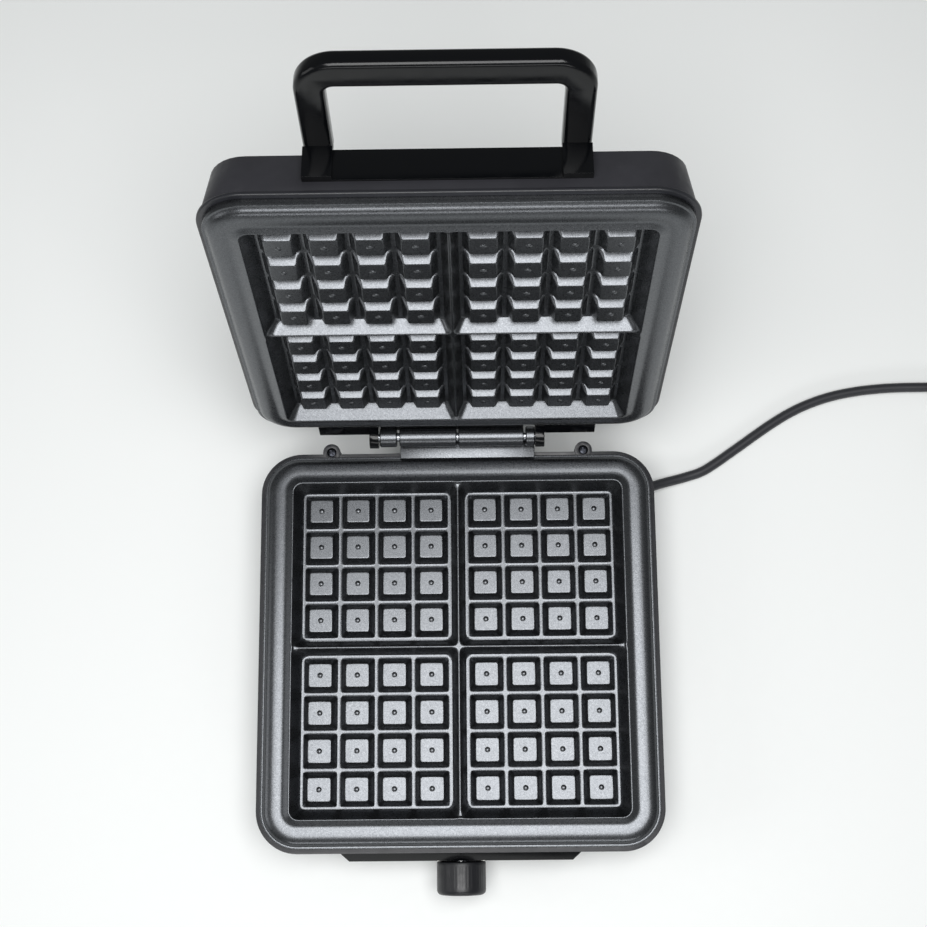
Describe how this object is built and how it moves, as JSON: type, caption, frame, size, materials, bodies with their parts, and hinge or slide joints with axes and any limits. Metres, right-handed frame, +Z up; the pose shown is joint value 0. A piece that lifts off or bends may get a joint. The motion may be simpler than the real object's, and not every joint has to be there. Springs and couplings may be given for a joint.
{
  "type": "waffle maker",
  "caption": "Table-top Belgian waffle maker with hinged non-stick grid plates, a bail handle, a browning knob and a mains lead.",
  "frame": {"origin": "on the table, at the middle of the open appliance's outline without its cord", "axes": "+X to the right of someone facing the control knob, +Y from the front to the hinge, +Z up"},
  "size_m": [0.5752, 0.4288, 0.3958],
  "materials": {
    "housing_plastic": "fine moulded texture, charcoal",
    "rim_plastic": "satin moulded, black",
    "nonstick": "grey non-stick coating with fine metallic sparkle",
    "gloss_black": "polished moulded, black",
    "brushed_cover": "brushed along the width",
    "steel": "turned and plated",
    "heater_sheath": "heat-tinted tube",
    "shield_metal": "mill finish sheet",
    "foot_rubber": "matt",
    "lens_red": "clear tinted",
    "lamp": "clear bulb",
    "cord_jacket": "soft vinyl, black",
    "brass_blade": "nickel-washed",
    "ceramic_white": "unglazed",
    "white_print": "pointer inlay",
    "tie_wire": "plastic-coated wire tie"
  },
  "bodies": {
    "base": {"lower_housing": "housing_plastic", "lower_bezel": "rim_plastic", "lower_cooking_plate": "nonstick", "lower_heating_element": "heater_sheath", "lower_heat_shield": "shield_metal", "lower_plate_screws": "steel", "control_panel": "gloss_black", "indicator_lenses": "lens_red", "indicator_lamps": "lamp", "thermostat": "ceramic_white", "thermostat_bracket": "steel", "thermal_fuse": "steel", "terminal_block": "ceramic_white", "bottom_cover": "housing_plastic", "bottom_cover_screws": "steel", "rubber_feet": "foot_rubber", "rear_lug_screws": "steel", "hinge_pin": "steel", "cord_strain_relief": "cord_jacket", "power_cord": "cord_jacket", "cord_coil": "cord_jacket", "cord_tie": "tie_wire", "plug_body": "cord_jacket", "plug_blades": "brass_blade"},
    "lid": {"lid_housing": "housing_plastic", "lid_bezel": "rim_plastic", "lid_top_cover": "brushed_cover", "upper_cooking_plate": "nonstick", "upper_heating_element": "heater_sheath", "upper_heat_shield": "shield_metal", "upper_plate_screws": "steel", "lid_hinge_caps": "gloss_black", "hinge_cap_screws": "steel", "handle_base": "gloss_black", "handle_bail": "gloss_black", "handle_screws": "steel"},
    "knob": {"control_knob": "gloss_black", "knob_spindle": "steel", "knob_marker": "white_print"}
  },
  "joints": [
    {"name": "lid_hinge", "type": "hinge", "parent": "base", "child": "lid", "pos_m": [0, 0.0926, 0.0675], "axis": [1, 0, 0], "range_deg": [0, 102.6]},
    {"name": "knob_turn", "type": "hinge", "parent": "base", "child": "knob", "pos_m": [0, -0.1925, 0.03], "axis": [0, 1, 0], "range_deg": [0, 270]}
  ]
}
